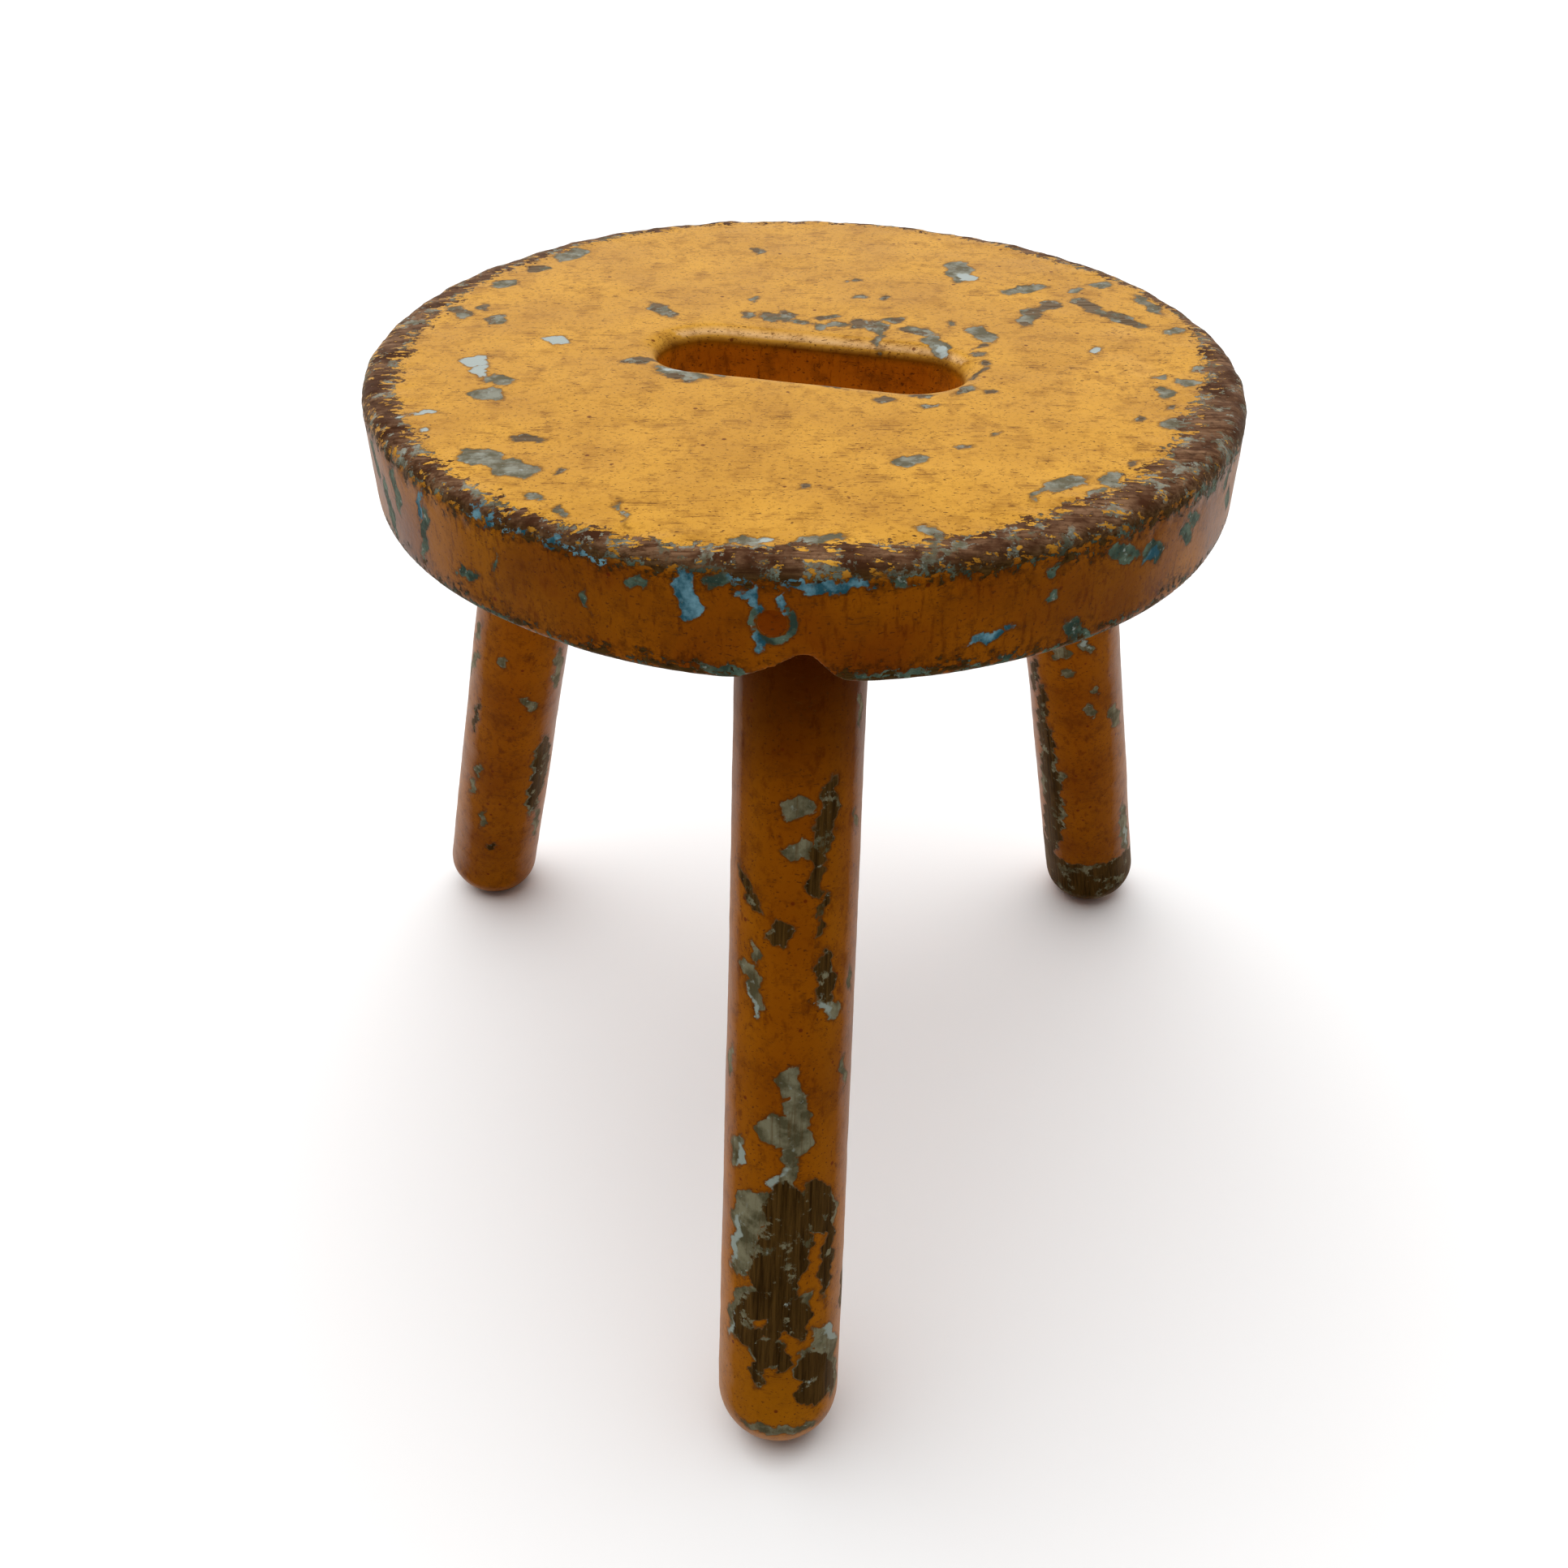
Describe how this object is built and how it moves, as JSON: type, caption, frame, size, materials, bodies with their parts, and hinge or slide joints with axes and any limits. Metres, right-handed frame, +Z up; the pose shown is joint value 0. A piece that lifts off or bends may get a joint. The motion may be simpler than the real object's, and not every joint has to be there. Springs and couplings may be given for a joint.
{
  "type": "three-legged stool",
  "caption": "Low round wooden milking stool with a hand slot through its seat and splayed round legs, in worn yellow-orange paint.",
  "frame": {"origin": "middle of the stool's footprint on the floor", "axes": "+Z up, out of the seat's top face; the front leg is towards -Y, and the two back legs are towards +Y, left at -X and right at +X"},
  "size_m": [0.3246, 0.3316, 0.304],
  "materials": {
    "seat_paint": "worn gloss yellow-orange oil paint over pale blue and grey-green coats on wood, bare at the rim",
    "leg_paint": "worn gloss yellow-orange oil paint, chipped to bare wood at the feet",
    "peg_paint": "hardwood dowel, painted over at its end"
  },
  "bodies": {
    "root": {"seat": "seat_paint", "leg_front": "leg_paint", "leg_back_left": "leg_paint", "leg_back_right": "leg_paint", "peg_front": "peg_paint", "peg_back_left": "peg_paint", "peg_back_right": "peg_paint"}
  },
  "joints": []
}
